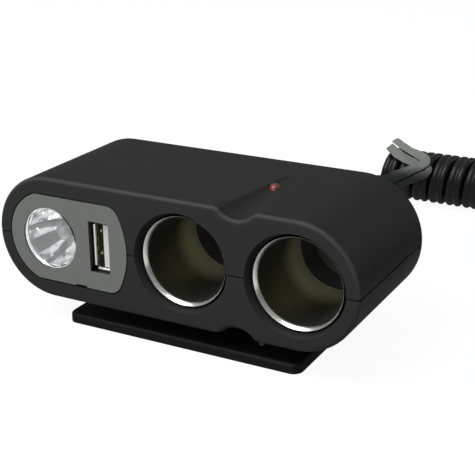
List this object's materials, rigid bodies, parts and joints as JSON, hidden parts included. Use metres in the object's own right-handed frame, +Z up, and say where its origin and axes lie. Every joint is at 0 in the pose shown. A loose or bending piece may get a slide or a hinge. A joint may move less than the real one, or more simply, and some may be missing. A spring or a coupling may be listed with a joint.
{
  "type": "car power socket splitter",
  "caption": "Oblong car power splitter: accessory sockets, USB port and torch in front, on a swivelling adhesive base, with a wound and tied lead that ends in an accessory plug.",
  "frame": {"origin": "on the surface that it stands on, under the middle of the housing", "axes": "+X along the housing from the torch to the sockets, +Y from the front face to the back where the lead leaves, +Z up"},
  "size_m": [0.146, 0.1491, 0.0395],
  "materials": {
    "housing_black": "fine satin texture",
    "steel": "zinc plated",
    "bezel_grey": "fine matte",
    "lens_clear": "clear moulded plastic",
    "reflector_silver": "metallised plastic",
    "led_white": "clear epoxy",
    "board_green": "solder mask",
    "switch_black": "matte",
    "plated_steel": "tin plated",
    "tongue_white": "moulded",
    "contact_gold": "gold flashed",
    "chip_black": "moulded",
    "inductor_brown": "enamelled wire",
    "socket_metal": "rolled, plated",
    "insulator_black": "matte",
    "contact_brass": "nickel flashed",
    "spring_steel": "bright",
    "wire_red": "soft sleeve",
    "wire_black": "soft sleeve",
    "indicator_red": "tinted epoxy",
    "lead_wire": "tinned",
    "base_black": "satin",
    "adhesive_grey": "foam tape",
    "cord_black": "soft satin",
    "relief_black": "matte",
    "tie_grey": "coated strip",
    "plug_black": "fine matte",
    "fuse_glass": "glass tube with metal caps"
  },
  "bodies": {
    "housing": {"top_shell": "housing_black", "bottom_shell": "housing_black", "housing_screws": "steel", "front_bezel": "bezel_grey", "torch_lens": "lens_clear", "torch_reflector": "reflector_silver", "torch_led": "led_white", "torch_board": "board_green", "torch_switch_case": "plated_steel", "usb_shell": "plated_steel", "usb_tongue": "tongue_white", "usb_contacts": "contact_gold", "circuit_board": "board_green", "voltage_regulator": "chip_black", "inductor_coil": "inductor_brown", "filter_capacitors": "chip_black", "left_socket_tube": "socket_metal", "right_socket_tube": "socket_metal", "left_insulator_cup": "insulator_black", "right_insulator_cup": "insulator_black", "left_contact_spring": "spring_steel", "right_contact_spring": "spring_steel", "left_spring_terminal": "contact_brass", "right_spring_terminal": "contact_brass", "positive_bus_bar": "contact_brass", "ground_strap": "contact_brass", "positive_wires": "wire_red", "ground_wires": "wire_black", "indicator_led": "indicator_red", "indicator_led_legs": "lead_wire", "pivot_screw": "steel", "pivot_washer": "steel", "pivot_insert": "contact_brass", "cord_strain_relief": "relief_black", "cord_lead": "cord_black", "cord_hank": "cord_black", "cord_tail": "cord_black", "twist_tie": "tie_grey", "plug_strain_relief": "relief_black", "plug_shell_upper": "plug_black", "plug_shell_lower": "plug_black", "plug_screw": "steel", "plug_nose_cap": "plug_black", "plug_tip_spring": "spring_steel", "plug_rear_contact": "contact_brass", "plug_ground_ring": "contact_brass", "plug_wires": "wire_red"},
    "base": {"base_plate": "base_black", "adhesive_pad": "adhesive_grey"},
    "left_contact": {"left_centre_contact": "contact_brass", "left_contact_clip": "steel"},
    "right_contact": {"right_centre_contact": "contact_brass", "right_contact_clip": "steel"},
    "torch_switch": {"torch_switch_slider": "switch_black"},
    "plug_tip_and_fuse": {"plug_tip": "contact_brass", "plug_fuse": "fuse_glass"},
    "left_side_spring": {"plug_side_spring_left": "spring_steel"},
    "right_side_spring": {"plug_side_spring_right": "spring_steel"}
  },
  "joints": [
    {"name": "base_swivel", "type": "hinge", "parent": "housing", "child": "base", "pos_m": [0.0015, 0, 0], "axis": [0, 0, 1], "continuous": true},
    {"name": "left_contact_press", "type": "slide", "parent": "housing", "child": "left_contact", "axis": [0, 1, 0], "range_m": [0, 0.002], "stiffness_N_per_m": 1500, "springref_m": -0.002, "deforming": ["left_contact_spring"]},
    {"name": "right_contact_press", "type": "slide", "parent": "housing", "child": "right_contact", "axis": [0, 1, 0], "range_m": [0, 0.002], "stiffness_N_per_m": 1500, "springref_m": -0.002, "deforming": ["right_contact_spring"]},
    {"name": "torch_switch_slide", "type": "slide", "parent": "housing", "child": "torch_switch", "axis": [1, 0, 0], "range_m": [0, 0.004]},
    {"name": "plug_tip_press", "type": "slide", "parent": "housing", "child": "plug_tip_and_fuse", "axis": [0, 1, 0], "range_m": [0, 0.003], "stiffness_N_per_m": 1000, "springref_m": -0.004, "deforming": ["plug_tip_spring"]},
    {"name": "left_side_spring_press", "type": "slide", "parent": "housing", "child": "left_side_spring", "axis": [1, 0, 0], "range_m": [0, 0.0007], "stiffness_N_per_m": 6000, "springref_m": -0.0003},
    {"name": "right_side_spring_press", "type": "slide", "parent": "housing", "child": "right_side_spring", "axis": [-1, 0, 0], "range_m": [0, 0.0007], "stiffness_N_per_m": 6000, "springref_m": -0.0003}
  ]
}
